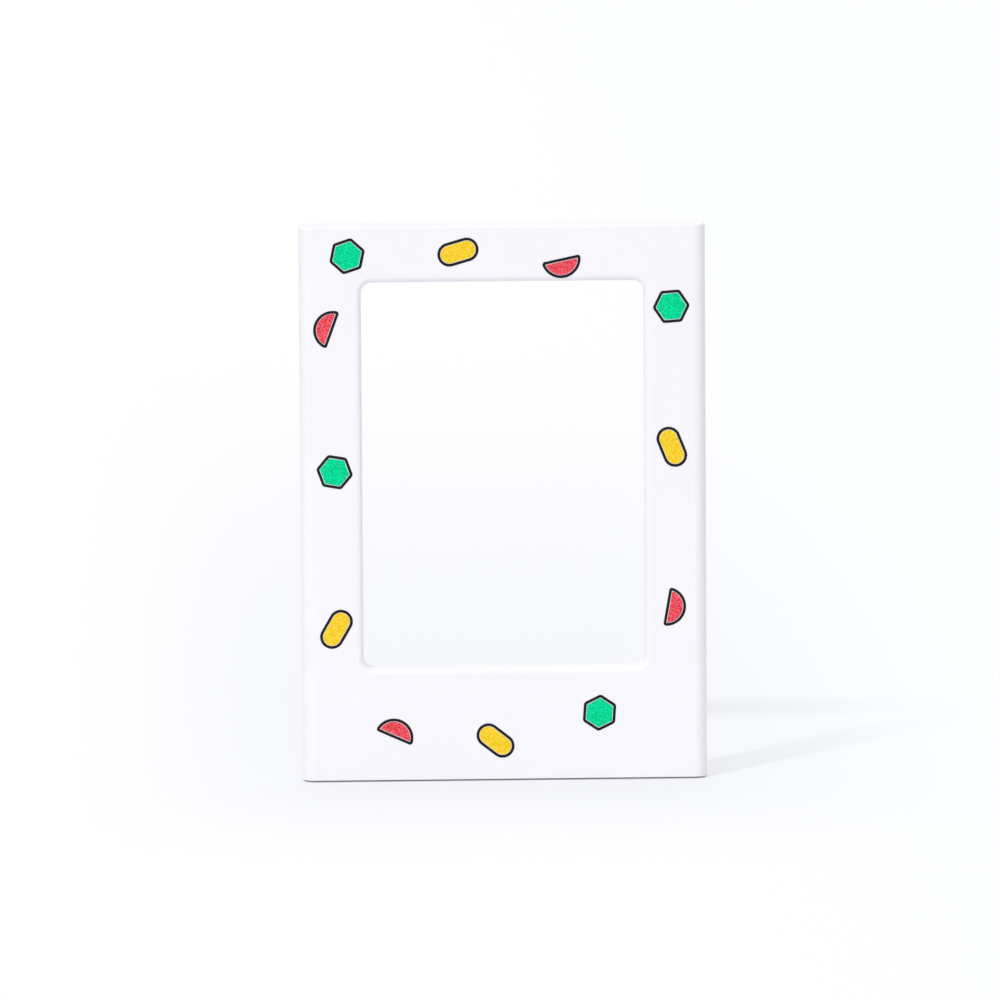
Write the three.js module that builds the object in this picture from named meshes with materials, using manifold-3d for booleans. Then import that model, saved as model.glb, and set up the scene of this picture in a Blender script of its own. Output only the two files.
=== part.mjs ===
// Magnetic photo frame for one instant film. Two moulded halves close on the film like a
// sandwich, and pairs of block magnets in the side rails hold them together.
// Millimetres. +Z is up, the printed front faces -Y, and the origin is the centre of the foot,
// on the plane where the two halves meet.
import * as THREE from 'three';
import { mergeVertices } from 'three/addons/utils/BufferGeometryUtils.js';
import Module from 'manifold-3d';

const wasm = await Module();
wasm.setup();

// Instant film that the frame holds, and the pocket that it lies in
const FILM_WIDTH = 54;
const FILM_HEIGHT = 86;
const FILM_CORNER = 1.5;
const FILM_CLEARANCE = 0.35;
const FILM_POCKET = 0.9;

// Block magnets, two in each side rail of each half
const MAGNET_WIDTH = 3;
const MAGNET_LENGTH = 10;
const MAGNET_THICKNESS = 2;
const MAGNET_CHAMFER = 0.2;
const MAGNET_CLEARANCE = 0.15;
const MAGNET_RECESS = 0.1;
const MAGNET_INSET = 8;

// Walls on both sides of the magnets, at both ends of the film, and over the magnets
const INNER_WALL = 1.1;
const OUTER_WALL = 1.25;
const END_WALL = 2.15;
const FRONT_SKIN = 1.9;
const REAR_SKIN = 1.9;

// How far each half reaches over the borders of the film
const FRONT_SIDE_LIP = 4;
const FRONT_TOP_LIP = 6.65;
const FRONT_FOOT_LIP = 16;
const REAR_SIDE_LIP = 2;
const REAR_TOP_LIP = 4;
const REAR_FOOT_LIP = 9.5;

// Rounded edges: upright corners, ends of the broad faces, windows and their rims
const SIDE_ROUND = 2;
const END_ROUND = 0.4;
const FRONT_WINDOW_CORNER = 1.8;
const FRONT_RIM_ROUND = 1;
const REAR_WINDOW_CORNER = 3;
const REAR_RIM_ROUND = 0.6;

// Chamfer beside the joint: with the one on the other half it makes a fingernail groove
const NAIL_CHAMFER = 0.3;

// Cored cells in the back of the broad foot bar, which keep the moulding's walls even; the
// foot bar of the rear half covers them
const CORE_WALL = 2;
const CORE_RIB = 1.2;
const CORE_CORNER = 0.8;
const CORE_CELLS = 3;

// Locating pegs on the rear half, with sockets for them in the front half
const PEG_DIAMETER = 2.4;
const PEG_HEIGHT = 1.2;
const PEG_CHAMFER = 0.3;
const PEG_CLEARANCE = 0.2;

// Facets: pairs in a quarter turn of an outline, rings in a rolled rim, sides of a peg
const CURVE_PAIRS = 4;
const RIM_RINGS = 8;
const PEG_SIDES = 24;

// How far a cutting body runs past the faces that it opens
const OVERRUN = 1;

// Sizes that follow from the ones above
const pocketWidth = FILM_WIDTH + 2 * FILM_CLEARANCE;
const pocketHeight = FILM_HEIGHT + 2 * FILM_CLEARANCE;
const slotWidth = MAGNET_WIDTH + 2 * MAGNET_CLEARANCE;
const slotDepth = MAGNET_THICKNESS + MAGNET_RECESS;
const railWidth = INNER_WALL + slotWidth + OUTER_WALL;
const width = pocketWidth + 2 * railWidth;
const height = pocketHeight + 2 * END_WALL;
const frontDepth = FRONT_SKIN + slotDepth;
const rearDepth = REAR_SKIN + slotDepth;
const railMiddle = pocketWidth / 2 + INNER_WALL + slotWidth / 2;
const lowMagnet = MAGNET_INSET + MAGNET_LENGTH / 2;
const highMagnet = height - lowMagnet;

// Openings in the plane of the frame, each as its four sides
const film = {
  left: -FILM_WIDTH / 2,
  right: FILM_WIDTH / 2,
  foot: END_WALL + FILM_CLEARANCE,
  top: height - END_WALL - FILM_CLEARANCE,
};
const frontWindow = {
  left: film.left + FRONT_SIDE_LIP,
  right: film.right - FRONT_SIDE_LIP,
  foot: film.foot + FRONT_FOOT_LIP,
  top: film.top - FRONT_TOP_LIP,
};
const rearWindow = {
  left: film.left + REAR_SIDE_LIP,
  right: film.right - REAR_SIDE_LIP,
  foot: film.foot + REAR_FOOT_LIP,
  top: film.top - REAR_TOP_LIP,
};

const AXIS_X = new THREE.Vector3(1, 0, 0);
const AXIS_Y = new THREE.Vector3(0, 1, 0);
const AXIS_Z = new THREE.Vector3(0, 0, 1);
const TOWARDS_FRONT = new THREE.Vector3(0, -1, 0);

// Turns that stand a drawn outline upright, as (x, z) or as (y, z)
const FACING_FRONT = new THREE.Matrix4().makeBasis(AXIS_X, AXIS_Z, TOWARDS_FRONT);
const FACING_SIDE = new THREE.Matrix4().makeBasis(AXIS_Y, AXIS_Z, AXIS_X);

// A closed surface as a solid that can be joined and cut
function solidOf(geometry) {
  const bare = geometry.clone();
  bare.deleteAttribute('normal');
  bare.deleteAttribute('uv');
  const merged = mergeVertices(bare);
  const corners = merged.index.array;
  const triangles = [];
  for (let first = 0; first < corners.length; first += 3) {
    const [a, b, c] = corners.slice(first, first + 3);
    if (a !== b && b !== c && c !== a) {
      triangles.push(a, b, c);
    }
  }
  return new wasm.Manifold(new wasm.Mesh({
    numProp: 3,
    vertProperties: new Float32Array(merged.attributes.position.array),
    triVerts: new Uint32Array(triangles),
  }));
}

// The surface of a finished solid
function surfaceOf(solid) {
  const mesh = solid.getMesh();
  const geometry = new THREE.BufferGeometry();
  geometry.setAttribute('position', new THREE.BufferAttribute(mesh.vertProperties, 3));
  geometry.setIndex(new THREE.BufferAttribute(mesh.triVerts, 1));
  geometry.computeVertexNormals();
  return geometry;
}

// Rectangle with round corners, grown by a margin on every side
function roundedRectangle({ left, right, foot, top }, corner, margin = 0) {
  const radius = corner + margin;
  const shape = new THREE.Shape();
  shape.absarc(right - corner, foot + corner, radius, -Math.PI / 2, 0);
  shape.absarc(right - corner, top - corner, radius, 0, Math.PI / 2);
  shape.absarc(left + corner, top - corner, radius, Math.PI / 2, Math.PI);
  shape.absarc(left + corner, foot + corner, radius, Math.PI, 3 * Math.PI / 2);
  return shape;
}

// Straight run of an outline, without bevels unless they are asked for
function extrude(shape, depth, bevel = { bevelEnabled: false }) {
  return new THREE.ExtrudeGeometry(shape, { depth, curveSegments: CURVE_PAIRS, ...bevel });
}

// Upright outline (x, z) run through the thickness from its front to its rear
function runThrough(shape, front, rear) {
  return extrude(shape, rear - front).applyMatrix4(FACING_FRONT).translate(0, rear, 0);
}

// Skin over upright outlines with equal point counts, from front to rear, closed at both ends
function loftThrough(sections) {
  const rings = sections.map(({ shape }) => shape.getPoints(CURVE_PAIRS));
  const count = rings[0].length;
  const positions = [];
  const triangles = [];
  rings.forEach((ring, row) => {
    ring.forEach((point) => positions.push(point.x, sections[row].y, point.y));
  });
  for (let row = 0; row + 1 < rings.length; row += 1) {
    for (let step = 0; step < count; step += 1) {
      const a = row * count + step;
      const b = row * count + (step + 1) % count;
      triangles.push(a, b + count, b, a, a + count, b + count);
    }
  }
  const last = (rings.length - 1) * count;
  for (const [a, b, c] of THREE.ShapeUtils.triangulateShape(rings[0], [])) {
    triangles.push(a, b, c);
    triangles.push(last + a, last + c, last + b);
  }
  const geometry = new THREE.BufferGeometry();
  geometry.setAttribute('position', new THREE.Float32BufferAttribute(positions, 3));
  geometry.setIndex(triangles);
  return geometry;
}

// Round bar about the Y axis with a chamfered rear end, moved out to one of the side rails
function roundBar(side, radius, front, rear, chamfer = 0) {
  const profile = [
    new THREE.Vector2(0, front),
    new THREE.Vector2(radius, front),
    new THREE.Vector2(radius, rear - chamfer),
    new THREE.Vector2(radius - chamfer, rear),
    new THREE.Vector2(0, rear),
  ];
  return new THREE.LatheGeometry(profile, PEG_SIDES).translate(side * railMiddle, 0, height / 2);
}

// Both halves are drawn with the joint face at y = 0 and the broad face towards the front; the
// rear half is turned round when it is finished.

// Blank of a half: the cross-section run up the height, and the ends of its broad face eased
function blank(depth) {
  const edge = width / 2;
  const round = Math.min(SIDE_ROUND, depth - NAIL_CHAMFER);
  const section = new THREE.Shape();
  section.moveTo(NAIL_CHAMFER - edge, 0);
  section.lineTo(-edge, -NAIL_CHAMFER);
  section.absarc(round - edge, round - depth, round, Math.PI, 3 * Math.PI / 2);
  section.absarc(edge - round, round - depth, round, -Math.PI / 2, 0);
  section.lineTo(edge, -NAIL_CHAMFER);
  section.lineTo(edge - NAIL_CHAMFER, 0);
  const upright = extrude(section, height + 2 * OVERRUN).translate(0, 0, -OVERRUN);

  const profile = new THREE.Shape();
  profile.moveTo(OVERRUN, 0);
  profile.lineTo(OVERRUN, height);
  profile.absarc(END_ROUND - depth, height - END_ROUND, END_ROUND, Math.PI / 2, Math.PI);
  profile.absarc(END_ROUND - depth, END_ROUND, END_ROUND, Math.PI, 3 * Math.PI / 2);
  const across = extrude(profile, width + 2 * OVERRUN).applyMatrix4(FACING_SIDE);
  across.translate(-edge - OVERRUN, 0, 0);
  return solidOf(upright).intersect(solidOf(across));
}

// Cutting body of a window whose rim rolls over a quarter round on to the broad face
function windowCut(opening, corner, rimRound, depth) {
  const sections = [{ y: -depth - OVERRUN, shape: roundedRectangle(opening, corner, rimRound) }];
  for (let ring = 0; ring <= RIM_RINGS; ring += 1) {
    const angle = ring / RIM_RINGS * Math.PI / 2;
    sections.push({
      y: -depth + rimRound * (1 - Math.cos(angle)),
      shape: roundedRectangle(opening, corner, rimRound * (1 - Math.sin(angle))),
    });
  }
  sections.push({ y: OVERRUN, shape: roundedRectangle(opening, corner) });
  return solidOf(loftThrough(sections));
}

// Outline of a magnet, or of its slot when a margin is given
function magnetOutline(x, z, margin) {
  const block = {
    left: x - MAGNET_WIDTH / 2,
    right: x + MAGNET_WIDTH / 2,
    foot: z - MAGNET_LENGTH / 2,
    top: z + MAGNET_LENGTH / 2,
  };
  return roundedRectangle(block, 0, margin);
}

// The four slots of a half, open at the joint face
function magnetSlots() {
  const slots = [];
  for (const side of [-1, 1]) {
    for (const z of [lowMagnet, highMagnet]) {
      const outline = magnetOutline(side * railMiddle, z, MAGNET_CLEARANCE);
      slots.push(solidOf(runThrough(outline, -slotDepth, OVERRUN)));
    }
  }
  return slots;
}

// The row of cored cells across the film's width, with ribs between them
function coreCells() {
  const foot = END_WALL;
  const top = rearWindow.foot - CORE_WALL;
  const start = film.left + CORE_WALL;
  const span = film.right - CORE_WALL - start;
  const cell = (span - (CORE_CELLS - 1) * CORE_RIB) / CORE_CELLS;
  const cells = [];
  for (let index = 0; index < CORE_CELLS; index += 1) {
    const left = start + index * (cell + CORE_RIB);
    const outline = roundedRectangle({ left, right: left + cell, foot, top }, CORE_CORNER);
    cells.push(solidOf(runThrough(outline, -slotDepth, OVERRUN)));
  }
  return cells;
}

function frontHalf() {
  const socketRadius = PEG_DIAMETER / 2 + PEG_CLEARANCE;
  const socketFloor = -PEG_HEIGHT - PEG_CLEARANCE;
  const cuts = [
    windowCut(frontWindow, FRONT_WINDOW_CORNER, FRONT_RIM_ROUND, frontDepth),
    ...magnetSlots(),
    ...coreCells(),
    solidOf(roundBar(-1, socketRadius, socketFloor, OVERRUN)),
    solidOf(roundBar(1, socketRadius, socketFloor, OVERRUN)),
  ];
  return cuts.reduce((half, cut) => half.subtract(cut), blank(frontDepth));
}

function rearHalf() {
  const filmOutline = roundedRectangle(film, FILM_CORNER, FILM_CLEARANCE);
  const cuts = [
    windowCut(rearWindow, REAR_WINDOW_CORNER, REAR_RIM_ROUND, rearDepth),
    solidOf(runThrough(filmOutline, -FILM_POCKET, OVERRUN)),
    ...magnetSlots(),
  ];
  const shell = cuts.reduce((half, cut) => half.subtract(cut), blank(rearDepth));
  return [-1, 1].reduce((half, side) => {
    const peg = roundBar(side, PEG_DIAMETER / 2, -OVERRUN, PEG_HEIGHT, PEG_CHAMFER);
    return half.add(solidOf(peg));
  }, shell);
}

// Block with chamfered edges, centred on its own origin and lying as it does in its slot
function magnetBlock() {
  const bevel = {
    bevelSegments: 1,
    bevelSize: MAGNET_CHAMFER,
    bevelOffset: -MAGNET_CHAMFER,
    bevelThickness: MAGNET_CHAMFER,
  };
  const block = extrude(magnetOutline(0, 0, 0), MAGNET_THICKNESS - 2 * MAGNET_CHAMFER, bevel);
  return block.applyMatrix4(FACING_FRONT).center();
}

function whitePlastic() {
  return new THREE.MeshStandardMaterial({ color: '#f4f4f7', roughness: 0.35, metalness: 0 });
}

function nickelPlate() {
  return new THREE.MeshStandardMaterial({ color: '#c8c6c0', roughness: 0.25, metalness: 1 });
}

const frame = new THREE.Group();

function addPart(name, geometry, material) {
  const part = new THREE.Mesh(geometry, material);
  part.name = name;
  frame.add(part);
  return part;
}

addPart('front_frame', surfaceOf(frontHalf()), whitePlastic());
addPart('rear_frame', surfaceOf(rearHalf()).rotateZ(Math.PI), whitePlastic());

for (const [half, facing] of [['front', -1], ['rear', 1]]) {
  for (const [level, z] of [['lower', lowMagnet], ['upper', highMagnet]]) {
    for (const [hand, side] of [['left', -1], ['right', 1]]) {
      const magnet = addPart(`${half}_magnet_${level}_${hand}`, magnetBlock(), nickelPlate());
      magnet.position.set(side * railMiddle, facing * (slotDepth - MAGNET_THICKNESS / 2), z);
    }
  }
}

export default frame;
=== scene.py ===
# Magnetic photo frame for one instant film, as it stands on a white studio table.
# Metres, +Z up, the printed front towards -Y, origin at the centre of the foot on the joint plane.
import math

import bmesh
import bpy
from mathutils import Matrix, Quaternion, Vector


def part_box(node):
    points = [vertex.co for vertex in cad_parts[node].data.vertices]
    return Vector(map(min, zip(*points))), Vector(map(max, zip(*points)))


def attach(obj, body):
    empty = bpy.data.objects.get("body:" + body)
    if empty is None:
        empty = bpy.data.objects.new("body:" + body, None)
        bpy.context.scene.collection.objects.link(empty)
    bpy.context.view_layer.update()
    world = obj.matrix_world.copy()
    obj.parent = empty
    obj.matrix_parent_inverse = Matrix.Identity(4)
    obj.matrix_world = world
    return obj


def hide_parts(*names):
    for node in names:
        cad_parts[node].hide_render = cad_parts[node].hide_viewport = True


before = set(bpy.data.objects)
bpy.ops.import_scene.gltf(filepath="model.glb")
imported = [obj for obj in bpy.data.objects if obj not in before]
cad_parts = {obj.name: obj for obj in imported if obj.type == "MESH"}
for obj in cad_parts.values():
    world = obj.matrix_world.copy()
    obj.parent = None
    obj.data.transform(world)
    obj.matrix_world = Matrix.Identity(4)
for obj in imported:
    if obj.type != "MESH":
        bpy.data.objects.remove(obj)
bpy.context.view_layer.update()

# Rear half
# The half that the frame stands on, moulded in one shot of white ABS. It has the larger window, a bed for
# the film, slots for the magnets, two locating pegs, and the round marks that the ejector pins leave.
MM = 0.001
X, Y, Z = 0, 1, 2
# Places that lie closer together than this count as one.
NEAR = 0.002 * MM
# The plane across Y where the halves meet, and the way from it into each of them
JOINT = 0.0
REARWARD, FORWARD = 1, -1
HALF_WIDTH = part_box("rear_frame")[1].x
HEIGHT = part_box("rear_frame")[1].z

SIDE_ROUND = 2 * MM
TOP_ROUND = 0.4 * MM
NAIL_CHAMFER = 0.3 * MM
CURVE_STEPS = 12
TOP_STEPS = 5
# A face whose normal has less than this along Y is a wall, not a broad face.
WALL_LIMIT = 0.5


def pick(*pieces):
    """Selects these pieces and nothing else, with the first one active."""
    bpy.ops.object.select_all(action="DESELECT")
    for piece in pieces:
        piece.select_set(True)
    bpy.context.view_layer.objects.active = pieces[0]


def choose(piece, kind, test):
    """In edit mode, selects only the corners, edges or faces of a piece that pass the test."""
    bpy.ops.mesh.select_mode(type=kind)
    bpy.ops.mesh.select_all(action="DESELECT")
    mesh = bmesh.from_edit_mesh(piece.data)
    for item in {"VERT": mesh.verts, "EDGE": mesh.edges, "FACE": mesh.faces}[kind]:
        item.select_set(test(item))
    mesh.select_flush_mode()
    bmesh.update_edit_mesh(piece.data)
    return [v.co.copy() for v in mesh.verts if v.select]


def at(axis, *places):
    """Test for an edge that lies whole in one of the planes across an axis."""
    return lambda edge: any(
        all(abs(corner.co[axis] - place) < NEAR for corner in edge.verts) for place in places
    )


def round_edges(piece, test, radius, steps):
    """Rounds the edges that pass the test, or chamfers them when there is one step."""
    choose(piece, "EDGE", test)
    bpy.ops.mesh.bevel(
        offset=radius, segments=steps, affect="EDGES", clamp_overlap=False, loop_slide=False
    )


def add_block(name, low, high):
    """Box between two corners, left open in edit mode."""
    bpy.ops.object.select_all(action="DESELECT")
    bpy.ops.mesh.primitive_cube_add(size=1, location=(Vector(low) + Vector(high)) / 2)
    block = bpy.context.object
    block.name = name
    block.scale = Vector(high) - Vector(low)
    bpy.ops.object.transform_apply(location=True, rotation=True, scale=True)
    bpy.ops.object.mode_set(mode="EDIT")
    return block


def close_mesh():
    """Turns all faces outwards and leaves edit mode."""
    bpy.ops.mesh.select_all(action="SELECT")
    bpy.ops.mesh.normals_make_consistent(inside=False)
    bpy.ops.object.mode_set(mode="OBJECT")


def cut_window(piece, broad, window, corner, rim):
    """Insets the window into both broad sides, bridges them and rolls the rim on to the broad face."""
    left, right, foot, top = window
    for level, flat in ((broad, HALF_WIDTH - SIDE_ROUND), (JOINT, HALF_WIDTH - NAIL_CHAMFER)):
        choose(piece, "FACE", lambda f: abs(f.calc_center_median().y - level) < NEAR)
        bpy.ops.mesh.inset(thickness=flat - right)
        for side, place in ((-1, foot), (1, top)):
            moved = choose(piece, "VERT", lambda v: (
                abs(v.co.y - level) < NEAR
                and abs(abs(v.co.x) - right) < NEAR
                and side * (v.co.z - HEIGHT / 2) > 0
            ))
            bpy.ops.transform.translate(value=(0, 0, place - moved[0].z))
    middle = Vector(((left + right) / 2, 0, (foot + top) / 2))
    choose(piece, "FACE", lambda f: (
        abs(f.calc_center_median().x - middle.x) < NEAR
        and abs(f.calc_center_median().z - middle.z) < NEAR
    ))
    bpy.ops.mesh.bridge_edge_loops()
    round_edges(piece, lambda e: at(X, left, right)(e) and at(Z, foot, top)(e), corner, CURVE_STEPS)
    round_edges(piece, lambda e: (
        at(Y, broad)(e)
        and any(abs(f.normal.y) < WALL_LIMIT for f in e.link_faces)
        and all(foot - NEAR < v.co.z < top + NEAR for v in e.verts)
        and all(abs(v.co.x) < right + NEAR for v in e.verts)
    ), rim, CURVE_STEPS)


def mould_half(name, broad, foot, window, corner, rim):
    """One half from the joint to its broad face, with a window, round edges and a chamfer for a nail."""
    low, high = sorted((broad, JOINT))
    half = add_block(name, (-HALF_WIDTH, low, foot), (HALF_WIDTH, high, HEIGHT))
    sides = at(X, -HALF_WIDTH, HALF_WIDTH)
    round_edges(half, lambda e: sides(e) and at(Y, broad)(e), SIDE_ROUND, CURVE_STEPS)
    round_edges(half, lambda e: sides(e) and at(Y, JOINT)(e), NAIL_CHAMFER, 1)
    cut_window(half, broad, window, corner, rim)
    round_edges(half, lambda e: at(Z, HEIGHT)(e) and not at(Y, JOINT)(e), TOP_ROUND, TOP_STEPS)
    # The rounding folds some of the faces between the rim and the outline, so these are filled afresh.
    choose(half, "FACE", lambda f: abs(f.calc_center_median().y - broad) < NEAR)
    bpy.ops.mesh.delete(type="FACE")
    choose(half, "EDGE", lambda e: e.is_boundary)
    bpy.ops.mesh.fill()
    close_mesh()
    return half


FILM_WIDTH = 54 * MM
FILM_HEIGHT = 86 * MM
FILM_FOOT = (HEIGHT - FILM_HEIGHT) / 2
FILM_TOP = HEIGHT - FILM_FOOT


def window_in(lips):
    """Left, right, foot and top of a window that leaves these lips over the film."""
    half = FILM_WIDTH / 2 - lips["side"]
    return -half, half, FILM_FOOT + lips["foot"], FILM_TOP - lips["top"]


REAR_LIPS = {"side": 2 * MM, "foot": 9.5 * MM, "top": 4 * MM}
REAR_CORNER = 3 * MM
REAR_RIM = 0.6 * MM
rear_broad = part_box("rear_frame")[1].y
rear_half = mould_half(
    "rear_moulding", rear_broad, foot=0, window=window_in(REAR_LIPS), corner=REAR_CORNER, rim=REAR_RIM
)

# How far a cutting tool stands out past the joint
OVERRUN = 1 * MM
POCKET_STEPS = 4
PIN_SIDES = 48
PIN_STEPS = 2


def pocket_tool(left, right, foot, top, depth, facing, corner=0):
    """Cutting block for a pocket that is sunk from the joint into the half on the facing side."""
    ends = sorted((facing * depth, -facing * OVERRUN))
    tool = add_block("tool", (left, ends[0], foot), (right, ends[1], top))
    if corner:
        round_edges(tool, lambda e: not at(Y, *ends)(e), corner, POCKET_STEPS)
    close_mesh()
    return tool


def pin_tool(x, z, radius, near, far, chamfer=0):
    """Round pin across the joint, with its far end chamfered where a chamfer is given."""
    bpy.ops.object.select_all(action="DESELECT")
    bpy.ops.mesh.primitive_cylinder_add(
        vertices=PIN_SIDES, radius=radius, depth=abs(far - near),
        location=(x, (near + far) / 2, z), rotation=(math.pi / 2, 0, 0),
    )
    bpy.ops.object.transform_apply(location=True, rotation=True, scale=True)
    pin = bpy.context.object
    bpy.ops.object.mode_set(mode="EDIT")
    if chamfer:
        round_edges(pin, at(Y, far), chamfer, PIN_STEPS)
    close_mesh()
    return pin


def apply_modifier(piece, kind, **settings):
    """Adds one modifier to a piece and applies it."""
    pick(piece)
    modifier = piece.modifiers.new(kind.lower(), kind)
    for name, value in settings.items():
        setattr(modifier, name, value)
    bpy.ops.object.modifier_apply(modifier=modifier.name)


def join_pieces(pieces, name):
    """Makes one object of several."""
    pick(*pieces)
    bpy.ops.object.join()
    pieces[0].name = name
    return pieces[0]


def combine(half, tools, operation):
    """Cuts tools out of a half or fuses them on, and clears them away."""
    tool = join_pieces(tools, "tool")
    apply_modifier(half, "BOOLEAN", object=tool, operation=operation, solver="EXACT")
    bpy.data.objects.remove(tool)


MAGNET = Vector((3 * MM, 2 * MM, 10 * MM))
MAGNET_CLEARANCE = 0.15 * MM
MAGNET_RECESS = 0.1 * MM
SLOT_DEPTH = MAGNET.y + MAGNET_RECESS
rail_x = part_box("rear_magnet_lower_right")[0].x + MAGNET.x / 2
rails = (-rail_x, rail_x)
magnet_levels = {
    level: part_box(f"rear_magnet_{level}_right")[0].z + MAGNET.z / 2 for level in ("lower", "upper")
}


def magnet_slots(facing):
    """The four slots of one half, a little larger than the magnets."""
    half = MAGNET / 2 + Vector((MAGNET_CLEARANCE, 0, MAGNET_CLEARANCE))
    return [
        pocket_tool(x - half.x, x + half.x, z - half.z, z + half.z, SLOT_DEPTH, facing)
        for x in rails for z in magnet_levels.values()
    ]


EJECTOR_RADIUS = 1.4 * MM
EJECTOR_DEPTH = 0.06 * MM
EJECTOR_LEVELS = (28 * MM, 63 * MM)


def ejector_marks(facing):
    """Shallow round witness marks in the rails, where the pins pushed the half out of its mould."""
    return [
        pin_tool(x, z, EJECTOR_RADIUS, -facing * OVERRUN, facing * EJECTOR_DEPTH)
        for x in rails for z in EJECTOR_LEVELS
    ]


FILM_CLEARANCE = 0.35 * MM
FILM_BED = 0.9 * MM
FILM_CORNER = 1.5 * MM
film_bed = pocket_tool(
    -FILM_WIDTH / 2 - FILM_CLEARANCE, FILM_WIDTH / 2 + FILM_CLEARANCE,
    FILM_FOOT - FILM_CLEARANCE, FILM_TOP + FILM_CLEARANCE,
    FILM_BED, REARWARD, FILM_CORNER + FILM_CLEARANCE,
)
PEG_RADIUS = 1.2 * MM
PEG_HEIGHT = 1.2 * MM
PEG_CHAMFER = 0.3 * MM
peg_level = HEIGHT / 2
pegs = [pin_tool(x, peg_level, PEG_RADIUS, OVERRUN, -PEG_HEIGHT, PEG_CHAMFER) for x in rails]
combine(rear_half, [*magnet_slots(REARWARD), film_bed], "DIFFERENCE")
combine(rear_half, pegs, "UNION")

# The ABS comes from a spark-eroded mould, so its skin is satin: a very fine even grain under soft
# reflections, with the faintest cloudiness where the melt flowed. It is a cool white, a trace lavender.
ABS_TONES = ("#F3F1F4", "#F7F5F7")
ABS_ROUGHNESS = (0.36, 0.44)
ABS_IOR = 1.53
FLOW_SIZE = 16 * MM
# The real spark grain is about 0.05 mm, too fine for the picture, so it is drawn at 0.35 mm.
SPARK_GRAIN = 0.35 * MM
SPARK_DEPTH = 0.004 * MM
# A noise pattern keeps mostly between these values.
NOISE_LOW, NOISE_HIGH = 0.3, 0.7
# The factor, the two colours and the result among a Mix node's sockets, where names repeat
MIX, FIRST, SECOND, MIXED = 0, 6, 7, 2


def linear(hex_code):
    """Linear colour with full alpha of an sRGB hex value."""
    channels = [int(hex_code[i:i + 2], 16) / 255 for i in (1, 3, 5)]
    curve = [c / 12.92 if c <= 0.04045 else ((c + 0.055) / 1.055) ** 2.4 for c in channels]
    return (*curve, 1.0)


def add_node(tree, kind, inputs=None, **settings):
    """Adds a shader node. An input given as a socket is linked, and any other is set."""
    node = tree.nodes.new(kind)
    for name, value in settings.items():
        setattr(node, name, value)
    for name, value in (inputs or {}).items():
        if isinstance(value, bpy.types.NodeSocket):
            tree.links.new(value, node.inputs[name])
        else:
            node.inputs[name].default_value = value
    return node


def new_material(name):
    """Material with its node tree, its main shader and the Object coordinates."""
    material = bpy.data.materials.new(name)
    material.use_nodes = True
    tree = material.node_tree
    place = add_node(tree, "ShaderNodeTexCoord").outputs["Object"]
    return material, tree, tree.nodes["Principled BSDF"], place


white_abs, tree, shader, place = new_material("white_abs_spark_satin")
flow = add_node(tree, "ShaderNodeTexNoise", {"Vector": place, "Scale": 1 / FLOW_SIZE, "Detail": 3.0})
grain = add_node(tree, "ShaderNodeTexNoise", {"Vector": place, "Scale": 1 / SPARK_GRAIN, "Detail": 2.0})
tint = add_node(
    tree, "ShaderNodeMix",
    {MIX: flow.outputs["Fac"], FIRST: linear(ABS_TONES[0]), SECOND: linear(ABS_TONES[1])},
    data_type="RGBA",
)
satin = add_node(
    tree, "ShaderNodeMapRange",
    {
        "Value": grain.outputs["Fac"], "From Min": NOISE_LOW, "From Max": NOISE_HIGH,
        "To Min": ABS_ROUGHNESS[0], "To Max": ABS_ROUGHNESS[1],
    },
)
spark = add_node(
    tree, "ShaderNodeBump",
    {"Height": grain.outputs["Fac"], "Strength": 0.5, "Distance": SPARK_DEPTH},
)
tree.links.new(tint.outputs[MIXED], shader.inputs["Base Color"])
tree.links.new(satin.outputs["Result"], shader.inputs["Roughness"])
tree.links.new(spark.outputs["Normal"], shader.inputs["Normal"])
shader.inputs["IOR"].default_value = ABS_IOR

EDGE_BREAK = 0.08 * MM
BREAK_STEPS = 2
SHARP = math.radians(35)


def finish_half(half, facing, node, body):
    """Breaks what is still sharp, adds the crisp ejector marks and fits the half into the frame."""
    pick(half)
    bpy.ops.object.mode_set(mode="EDIT")
    round_edges(half, lambda e: e.calc_face_angle() > SHARP, EDGE_BREAK, BREAK_STEPS)
    close_mesh()
    combine(half, ejector_marks(facing), "DIFFERENCE")
    bpy.ops.object.shade_smooth_by_angle(angle=SHARP)
    apply_modifier(half, "WEIGHTED_NORMAL", keep_sharp=True)
    half.data.materials.clear()
    half.data.materials.append(white_abs)
    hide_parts(node)
    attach(half, body)


finish_half(rear_half, REARWARD, "rear_frame", "rear_half")

# Front half
# Moulded like the rear half, with the smaller window, whose rim rolls in softly, a broad foot bar that is
# cored behind, and two sockets for the pegs. It ends just above the table: the rear half carries the frame.
FRONT_LIPS = {"side": 4 * MM, "foot": 16 * MM, "top": 6.65 * MM}
FRONT_CORNER = 1.8 * MM
FRONT_RIM = 1 * MM
FOOT_GAP = 0.25 * MM
front_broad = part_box("front_frame")[0].y
front_half = mould_half(
    "front_moulding", front_broad,
    foot=FOOT_GAP, window=window_in(FRONT_LIPS), corner=FRONT_CORNER, rim=FRONT_RIM,
)

CORE_CELLS = 3
CORE_WALL = 2 * MM
CORE_RIB = 1.2 * MM
CORE_CORNER = 0.8 * MM
CORE_FOOT = 2.15 * MM
core_left = -FILM_WIDTH / 2 + CORE_WALL
core_top = window_in(REAR_LIPS)[2] - CORE_WALL
cell_width = (-2 * core_left - (CORE_CELLS - 1) * CORE_RIB) / CORE_CELLS
cell_starts = [core_left + i * (cell_width + CORE_RIB) for i in range(CORE_CELLS)]
core_cells = [
    pocket_tool(x, x + cell_width, CORE_FOOT, core_top, SLOT_DEPTH, FORWARD, CORE_CORNER)
    for x in cell_starts
]
PEG_CLEARANCE = 0.2 * MM
socket_radius = PEG_RADIUS + PEG_CLEARANCE
socket_depth = PEG_HEIGHT + PEG_CLEARANCE
sockets = [pin_tool(x, peg_level, socket_radius, OVERRUN, -socket_depth) for x in rails]
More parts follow.
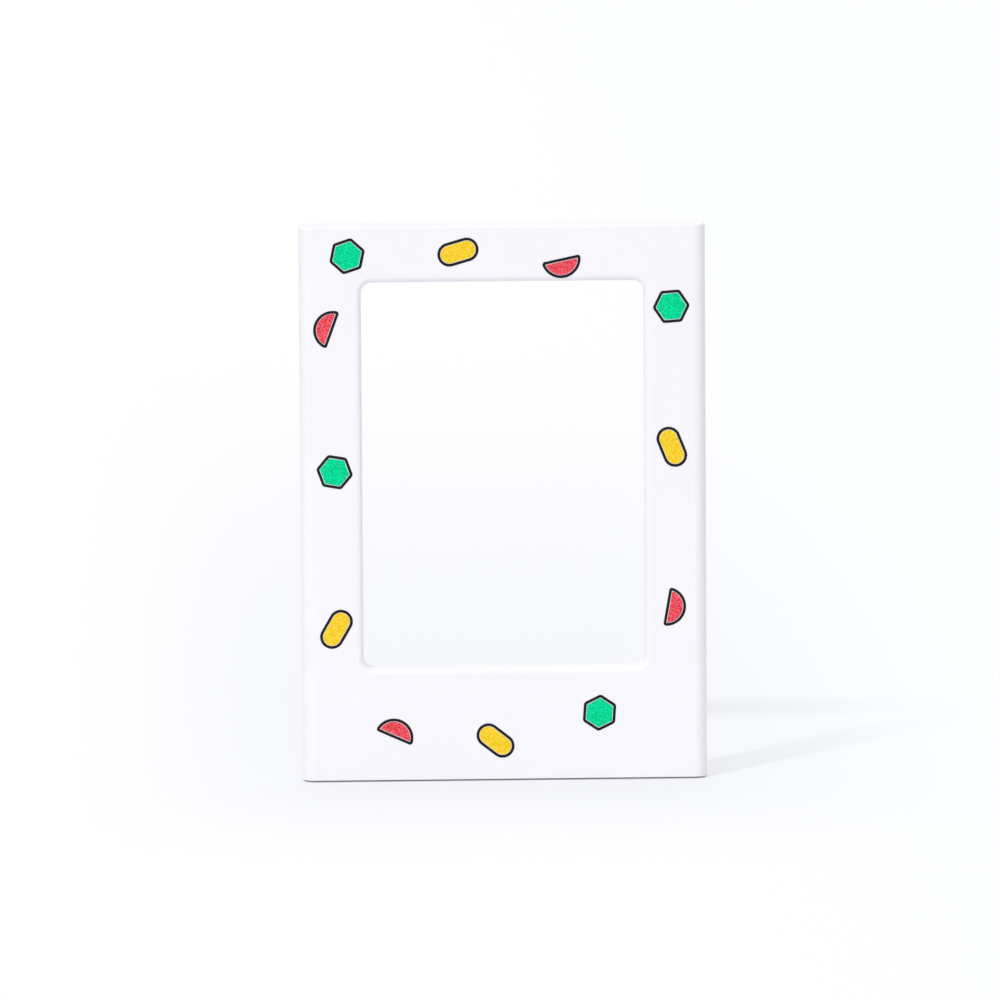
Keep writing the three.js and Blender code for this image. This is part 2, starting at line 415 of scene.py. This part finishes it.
combine(front_half, [*magnet_slots(FORWARD), *core_cells, *sockets], "DIFFERENCE")
finish_half(front_half, FORWARD, "front_frame", "front_half")

# Magnets
# Eight sintered neodymium blocks, nickel-plated, glued in pairs that face each other across the joint.
# The barrel-plated skin is bright but not a mirror: softly rounded edges and a faint orange peel.
MAGNET_EDGE = 0.22 * MM
MAGNET_STEPS = 4
NICKEL_TONES = ("#C4BEB2", "#D6D0C5")
NICKEL_ROUGHNESS = (0.16, 0.3)
PLATING_GRAIN = 0.5 * MM
PLATING_DEPTH = 0.003 * MM

magnet = add_block("magnet", -MAGNET / 2, MAGNET / 2)
bpy.ops.mesh.select_all(action="SELECT")
bpy.ops.mesh.bevel(offset=MAGNET_EDGE, segments=MAGNET_STEPS, affect="EDGES")
close_mesh()
bpy.ops.object.shade_smooth_by_angle(angle=SHARP)
apply_modifier(magnet, "WEIGHTED_NORMAL", keep_sharp=True)

nickel, tree, shader, place = new_material("nickel_plate_barrel")
peel = add_node(tree, "ShaderNodeTexNoise", {"Vector": place, "Scale": 1 / PLATING_GRAIN, "Detail": 3.0})
sheen = add_node(
    tree, "ShaderNodeMapRange",
    {
        "Value": peel.outputs["Fac"], "From Min": NOISE_LOW, "From Max": NOISE_HIGH,
        "To Min": NICKEL_ROUGHNESS[0], "To Max": NICKEL_ROUGHNESS[1],
    },
)
metal = add_node(
    tree, "ShaderNodeMix",
    {MIX: peel.outputs["Fac"], FIRST: linear(NICKEL_TONES[0]), SECOND: linear(NICKEL_TONES[1])},
    data_type="RGBA",
)
dimples = add_node(
    tree, "ShaderNodeBump",
    {"Height": peel.outputs["Fac"], "Strength": 0.6, "Distance": PLATING_DEPTH},
)
tree.links.new(metal.outputs[MIXED], shader.inputs["Base Color"])
tree.links.new(sheen.outputs["Result"], shader.inputs["Roughness"])
tree.links.new(dimples.outputs["Normal"], shader.inputs["Normal"])
shader.inputs["Metallic"].default_value = 1.0
magnet.data.materials.append(nickel)


def set_copy(piece, place, turn=0.0):
    """Copy of a piece with its own mesh, turned in the plane of the front and moved, with both applied."""
    copy = piece.copy()
    copy.data = piece.data.copy()
    bpy.context.collection.objects.link(copy)
    copy.location = place
    copy.rotation_euler.y = turn
    pick(copy)
    bpy.ops.object.transform_apply(location=True, rotation=True, scale=True)
    return copy


for half_name, facing in (("front", FORWARD), ("rear", REARWARD)):
    depth = facing * (SLOT_DEPTH - MAGNET.y / 2)
    for level, z in magnet_levels.items():
        for hand, x in zip(("left", "right"), rails):
            block = set_copy(magnet, (x, depth, z))
            block.name = f"magnet_{half_name}_{level}_{hand}"
            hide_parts(f"{half_name}_magnet_{level}_{hand}")
            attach(block, f"{half_name}_half")
bpy.data.objects.remove(magnet)

# Print
# Scattered confetti in ultraviolet-cured ink on the front: coral half-discs, yellow capsules and mint
# hexagons, each with a black outline. It is printed in two passes and stands a little proud.
OUTLINE = 0.45 * MM
REGISTER_GAP = 0.075 * MM
INK_SUNK = 0.02 * MM
FILL_PROUD = 0.025 * MM
LINE_PROUD = 0.04 * MM
MOTIF_SIDES = 96
MOTIF_STEPS = 6


def start_motif(sides, radius):
    """Flat polygon that faces the front, left open in edit mode with all of it selected."""
    bpy.ops.object.select_all(action="DESELECT")
    bpy.ops.mesh.primitive_circle_add(
        vertices=sides, radius=radius, fill_type="NGON", rotation=(math.pi / 2, 0, 0)
    )
    bpy.ops.object.transform_apply(location=True, rotation=True, scale=True)
    bpy.ops.object.mode_set(mode="EDIT")
    bpy.ops.mesh.select_all(action="SELECT")
    return bpy.context.object


HALF_DISC_RADIUS = 3.2 * MM
HALF_DISC_CORNER = 0.5 * MM
half_disc = start_motif(MOTIF_SIDES, HALF_DISC_RADIUS)
bpy.ops.mesh.bisect(plane_co=(0, 0, 0), plane_no=(0, 0, 1), use_fill=False, clear_inner=True)
# The sides next to the two corners have to be longer than the rounding takes off.
choose(half_disc, "VERT", lambda v: NEAR < v.co.z < HALF_DISC_CORNER + NEAR)
bpy.ops.mesh.dissolve_verts()
choose(half_disc, "VERT", lambda v: abs(v.co.z) < NEAR)
bpy.ops.mesh.bevel(offset=HALF_DISC_CORNER, segments=MOTIF_STEPS, affect="VERTICES")
bpy.ops.object.mode_set(mode="OBJECT")

CAPSULE_RADIUS = 1.95 * MM
CAPSULE_STRAIGHT = 2.9 * MM
capsule = start_motif(MOTIF_SIDES, CAPSULE_RADIUS)
for way in (-1, 1):
    choose(capsule, "VERT", lambda v: way * v.co.z > NEAR)
    bpy.ops.transform.translate(value=(0, 0, way * CAPSULE_STRAIGHT / 2))
bpy.ops.object.mode_set(mode="OBJECT")

HEXAGON_SIDES = 6
HEXAGON_RADIUS = 3.05 * MM
HEXAGON_CORNER = 0.35 * MM
hexagon = start_motif(HEXAGON_SIDES, HEXAGON_RADIUS)
bpy.ops.mesh.bevel(offset=HEXAGON_CORNER, segments=MOTIF_STEPS, affect="VERTICES")
bpy.ops.object.mode_set(mode="OBJECT")


def ink_layers(motif):
    """Splits a motif into its outline ring and its fill, and gives both the thickness of the ink."""
    pick(motif)
    bpy.ops.object.mode_set(mode="EDIT")
    bpy.ops.mesh.select_mode(type="FACE")
    bpy.ops.mesh.select_all(action="SELECT")
    bpy.ops.mesh.inset(thickness=OUTLINE)
    # Points that a corner draws closer together than the gap are merged, here and in the fill.
    bpy.ops.mesh.remove_doubles(threshold=REGISTER_GAP)
    bpy.ops.mesh.separate(type="SELECTED")
    bpy.ops.object.mode_set(mode="OBJECT")
    fill = next(piece for piece in bpy.context.selected_objects if piece != motif)
    pick(fill)
    bpy.ops.object.mode_set(mode="EDIT")
    bpy.ops.mesh.select_all(action="SELECT")
    bpy.ops.mesh.inset(thickness=REGISTER_GAP)
    bpy.ops.mesh.remove_doubles(threshold=REGISTER_GAP)
    bpy.ops.mesh.select_all(action="INVERT")
    bpy.ops.mesh.delete(type="FACE")
    bpy.ops.object.mode_set(mode="OBJECT")
    apply_modifier(motif, "SOLIDIFY", thickness=INK_SUNK + LINE_PROUD, offset=1)
    apply_modifier(fill, "SOLIDIFY", thickness=INK_SUNK + FILL_PROUD, offset=1)
    return motif, fill


# The ink is opaque, with a fine speckle of dots and a slightly pebbled satin skin. The print head's dots
# are about 0.04 mm; they are drawn at 0.18 mm, as the lens clumps them.
INK_GRAIN = 0.18 * MM
INK_DEPTH = 0.006 * MM
# In this narrow range of the noise one tone gives way to the other.
DOT_EDGE = (0.46, 0.54)
INK_ROUGHNESS = (0.4, 0.6)
INK_SPECULAR = 0.06


def cured_ink(name, dark, light):
    """Ultraviolet-cured ink that varies between two tones from dot to dot."""
    material, tree, shader, place = new_material(name)
    dots = add_node(tree, "ShaderNodeTexNoise", {"Vector": place, "Scale": 1 / INK_GRAIN, "Detail": 1.0})
    spread = add_node(
        tree, "ShaderNodeMapRange",
        {"Value": dots.outputs["Fac"], "From Min": DOT_EDGE[0], "From Max": DOT_EDGE[1]},
    )
    colour = add_node(
        tree, "ShaderNodeMix",
        {MIX: spread.outputs["Result"], FIRST: linear(dark), SECOND: linear(light)}, data_type="RGBA",
    )
    skin = add_node(
        tree, "ShaderNodeMapRange",
        {"Value": dots.outputs["Fac"], "To Min": INK_ROUGHNESS[0], "To Max": INK_ROUGHNESS[1]},
    )
    pebble = add_node(
        tree, "ShaderNodeBump",
        {"Height": dots.outputs["Fac"], "Strength": 0.5, "Distance": INK_DEPTH},
    )
    tree.links.new(colour.outputs[MIXED], shader.inputs["Base Color"])
    tree.links.new(skin.outputs["Result"], shader.inputs["Roughness"])
    tree.links.new(pebble.outputs["Normal"], shader.inputs["Normal"])
    shader.inputs["Specular IOR Level"].default_value = INK_SPECULAR
    return material


# Each colour's motif, its two tones, and its prints' middles and turns, in millimetres and degrees
PRINTS = {
    "red": (half_disc, ("#D3333F", "#FD6773"), (
        (9.5, 85.6, 168), (-27.6, 74.2, -70), (26.4, 28.4, 100), (-18.2, 7.2, 24),
    )),
    "yellow": (capsule, ("#F0C408", "#FDDB49"), (
        (-7.2, 86.8, 74), (27.4, 54.6, -22), (-27.4, 25.2, 30), (-1.6, 6.6, -52),
    )),
    "green": (hexagon, ("#00C17F", "#04E8A4"), (
        (-25.2, 86.3, 12), (27.4, 77.6, 26), (-27.5, 51.0, 40), (15.4, 11.0, 4),
    )),
}
BLACK_INK = ("#1C1C20", "#26262A")


def stamp(layer, places):
    """Sets down an ink layer at all its places on the front."""
    return [
        set_copy(layer, (x * MM, front_broad + INK_SUNK, z * MM), math.radians(turn))
        for x, z, turn in places
    ]


outlines = []
for colour, (motif, tones, places) in PRINTS.items():
    ring, fill = ink_layers(motif)
    outlines += stamp(ring, places)
    print_fill = join_pieces(stamp(fill, places), f"print_{colour}")
    print_fill.data.materials.append(cured_ink(f"cured_ink_{colour}", *tones))
    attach(print_fill, "front_half")
    bpy.data.objects.remove(ring)
    bpy.data.objects.remove(fill)
print_lines = join_pieces(outlines, "print_outlines")
print_lines.data.materials.append(cured_ink("cured_ink_black", *BLACK_INK))
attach(print_lines, "front_half")

# Table
# A sheet of white studio card on a greyer table top, lit from above, that runs on behind the frame. It
# glows pure white to the camera, apart from a pool round the frame where the glow fades out, so that the
# card's own lit tone and its cast shadow show: the pool's darkening round the frame is painted shade.
TABLE_RADIUS = 3.0
TABLE_SIDES = 96
# The table lies a hair below the foot, so that no two faces share a plane.
TABLE_DROP = 0.02 * MM
TABLE_TONE = "#D6D8E0"
TABLE_START = 190 * MM
CARD_TONE = "#E8EAF2"
CARD_END = 110 * MM
CARD_ROUGHNESS = 0.9
CARD_SPECULAR = 0.1
# Where the card glows all white and where it shows most of its own tone, on each side of the painted shade
# pool
SHADE_POOL_EDGES = (
    ("X", -76 * MM, -28 * MM),
    ("X", 90 * MM, 20 * MM),
    ("Y", -100 * MM, 10 * MM),
    ("Y", 640 * MM, 20 * MM),
)
SHADE_POOL_SHARE = 0.57
# The white glow turns a trace dimmer and bluer between these places on the right: painted falloff of the
# light.
WHITE = "#FFFFFF"
FALLOFF_TONE = "#FDFEFF"
FALLOFF_START = 10 * MM
FALLOFF_END = 90 * MM
# Closer to the frame than this an ambient-occlusion mask takes the glow away, and the card shows its own
# tone alone, which is dark with real shade in the gap under the foot.
CREVICE = 0.6 * MM
CREVICE_SAMPLES = 8

bpy.ops.object.select_all(action="DESELECT")
bpy.ops.mesh.primitive_circle_add(vertices=TABLE_SIDES, radius=TABLE_RADIUS, fill_type="NGON")
table = bpy.context.object
table.name = "table"
bpy.ops.object.mode_set(mode="EDIT")
bpy.ops.mesh.select_all(action="SELECT")
bpy.ops.transform.translate(value=(0, 0, -TABLE_DROP))
bpy.ops.object.mode_set(mode="OBJECT")


def seen_rays(tree):
    """1 for rays that show the background: straight to the camera, or by a reflection or through glass."""
    path = add_node(tree, "ShaderNodeLightPath")
    mirrored = add_node(
        tree, "ShaderNodeMath",
        {0: path.outputs["Is Glossy Ray"], 1: path.outputs["Is Transmission Ray"]}, operation="MAXIMUM",
    )
    return add_node(
        tree, "ShaderNodeMath",
        {0: path.outputs["Is Camera Ray"], 1: mirrored.outputs[0]}, operation="MAXIMUM",
    ).outputs[0]


card, tree, shader, place = new_material("white_card")
spot = add_node(tree, "ShaderNodeSeparateXYZ", {"Vector": place})
ahead = add_node(tree, "ShaderNodeMath", {0: spot.outputs["Y"], 1: 0.0}, operation="MINIMUM")
beside = add_node(tree, "ShaderNodeCombineXYZ", {"X": spot.outputs["X"], "Y": ahead.outputs[0]})
reach = add_node(tree, "ShaderNodeVectorMath", {0: beside.outputs["Vector"]}, operation="LENGTH")
margin = add_node(
    tree, "ShaderNodeMapRange",
    {"Value": reach.outputs["Value"], "From Min": CARD_END, "From Max": TABLE_START},
    interpolation_type="SMOOTHSTEP",
)
paper = add_node(
    tree, "ShaderNodeMix",
    {MIX: margin.outputs["Result"], FIRST: linear(CARD_TONE), SECOND: linear(TABLE_TONE)},
    data_type="RGBA",
)
tree.links.new(paper.outputs[MIXED], shader.inputs["Base Color"])
shader.inputs["Roughness"].default_value = CARD_ROUGHNESS
shader.inputs["Specular IOR Level"].default_value = CARD_SPECULAR
# The glow is faded out by place round the frame, which paints a pool of shade there; the shadow inside it
# is cast.
shade_pool = SHADE_POOL_SHARE
for axis, white, grey in SHADE_POOL_EDGES:
    edge = add_node(
        tree, "ShaderNodeMapRange",
        {"Value": spot.outputs[axis], "From Min": white, "From Max": grey},
        interpolation_type="SMOOTHSTEP",
    )
    shade_pool = add_node(
        tree, "ShaderNodeMath", {0: shade_pool, 1: edge.outputs["Result"]}, operation="MULTIPLY"
    ).outputs[0]
white_share = add_node(tree, "ShaderNodeMath", {0: 1.0, 1: shade_pool}, operation="SUBTRACT")
crevice = add_node(tree, "ShaderNodeAmbientOcclusion", {"Distance": CREVICE}, samples=CREVICE_SAMPLES)
open_share = add_node(
    tree, "ShaderNodeMath", {0: white_share.outputs[0], 1: crevice.outputs["AO"]}, operation="MULTIPLY"
)
shown = add_node(
    tree, "ShaderNodeMath", {0: open_share.outputs[0], 1: seen_rays(tree)}, operation="MULTIPLY"
)
# Painted falloff: the glow's white dims to a trace bluer tone towards the right.
falloff_ramp = add_node(
    tree, "ShaderNodeMapRange",
    {"Value": spot.outputs["X"], "From Min": FALLOFF_START, "From Max": FALLOFF_END},
    interpolation_type="SMOOTHSTEP",
)
falloff_tint = add_node(
    tree, "ShaderNodeMix",
    {MIX: falloff_ramp.outputs["Result"], FIRST: linear(WHITE), SECOND: linear(FALLOFF_TONE)}, data_type="RGBA",
)
glow = add_node(tree, "ShaderNodeEmission", {"Color": falloff_tint.outputs[MIXED], "Strength": 1.0})
surface = add_node(
    tree, "ShaderNodeMixShader",
    {0: shown.outputs[0], 1: shader.outputs["BSDF"], 2: glow.outputs["Emission"]},
)
tree.links.new(surface.outputs["Shader"], tree.nodes["Material Output"].inputs["Surface"])
table.data.materials.append(card)

# Light
# A small softbox high on the left in front draws the shadows, and a weak broad one beside the camera lifts
# the front. The rest comes from a white room, brightest at the backdrop and dimmest at its side walls.
SOFTBOXES = {
    "key": {"azimuth": -37, "elevation": 43.3, "distance": 4.0, "size": 0.3, "share": 0.31},
    "fill": {"azimuth": -2, "elevation": 5, "distance": 2.0, "size": 0.8, "share": 0.065},
}
ROOM_SHARE = 0.91
WALL_SHARE = 0.31
BACKDROP_SHARE = 0.42


def direction(azimuth, elevation):
    """Unit vector from the frame, azimuth measured round from the front towards the right."""
    a, e = math.radians(azimuth), math.radians(elevation)
    return Vector((math.sin(a) * math.cos(e), -math.cos(a) * math.cos(e), math.sin(e)))


for name, box in SOFTBOXES.items():
    lamp = bpy.data.lights.new(f"softbox_{name}", "AREA")
    lamp.shape = "DISK"
    lamp.size = box["size"]
    # A white face square to the lamp gets this share of full white from it.
    lamp.energy = box["share"] * (math.pi * box["distance"]) ** 2
    softbox = bpy.data.objects.new(lamp.name, lamp)
    bpy.context.collection.objects.link(softbox)
    towards = direction(box["azimuth"], box["elevation"])
    softbox.location = Vector((0, 0, HEIGHT / 2)) + towards * box["distance"]
    softbox.rotation_mode = "QUATERNION"
    softbox.rotation_quaternion = towards.to_track_quat("Z", "Y")

room = bpy.data.worlds.new("white_room")
room.use_nodes = True
tree = room.node_tree
ray = add_node(tree, "ShaderNodeTexCoord").outputs["Generated"]
heading = add_node(tree, "ShaderNodeSeparateXYZ", {"Vector": ray})
aside = add_node(
    tree, "ShaderNodeMath", {0: heading.outputs["X"], 1: heading.outputs["X"]}, operation="MULTIPLY"
)
walls = add_node(
    tree, "ShaderNodeMapRange", {"Value": aside.outputs[0], "To Min": ROOM_SHARE, "To Max": WALL_SHARE}
)
backdrop = add_node(
    tree, "ShaderNodeMapRange", {"Value": heading.outputs["Y"], "To Max": BACKDROP_SHARE}
)
room_light = add_node(
    tree, "ShaderNodeMath", {0: walls.outputs["Result"], 1: backdrop.outputs["Result"]}, operation="ADD"
)
strength = add_node(
    tree, "ShaderNodeMapRange", {"Value": seen_rays(tree), "To Min": room_light.outputs[0], "To Max": 1.0}
)
tree.nodes["Background"].inputs["Color"].default_value = linear(WHITE)
tree.links.new(strength.outputs["Result"], tree.nodes["Background"].inputs["Strength"])
bpy.context.scene.world = room

# Camera
# A long lens a little above the frame and a touch to its left, rolled by a third of a degree. From two
# metres away the sides of the frame stay almost parallel.
CAMERA_DISTANCE = 2.0
CAMERA_AZIMUTH = -1.8
CAMERA_ELEVATION = 7.5
CAMERA_ROLL = 0.36
VIEW_WIDTH = 163.03 * MM
VIEW_MIDDLE = Vector((-0.5 * MM, 0, 45.63 * MM))

optics = bpy.data.cameras.new("camera")
optics.lens = optics.sensor_width * CAMERA_DISTANCE / VIEW_WIDTH
camera = bpy.data.objects.new("camera", optics)
bpy.context.collection.objects.link(camera)
back = direction(CAMERA_AZIMUTH, CAMERA_ELEVATION)
camera.location = VIEW_MIDDLE + back * CAMERA_DISTANCE
camera.rotation_mode = "QUATERNION"
roll = Quaternion((0, 0, 1), -math.radians(CAMERA_ROLL))
camera.rotation_quaternion = back.to_track_quat("Z", "Y") @ roll
bpy.context.scene.camera = camera
bpy.context.scene.view_settings.view_transform = "Standard"
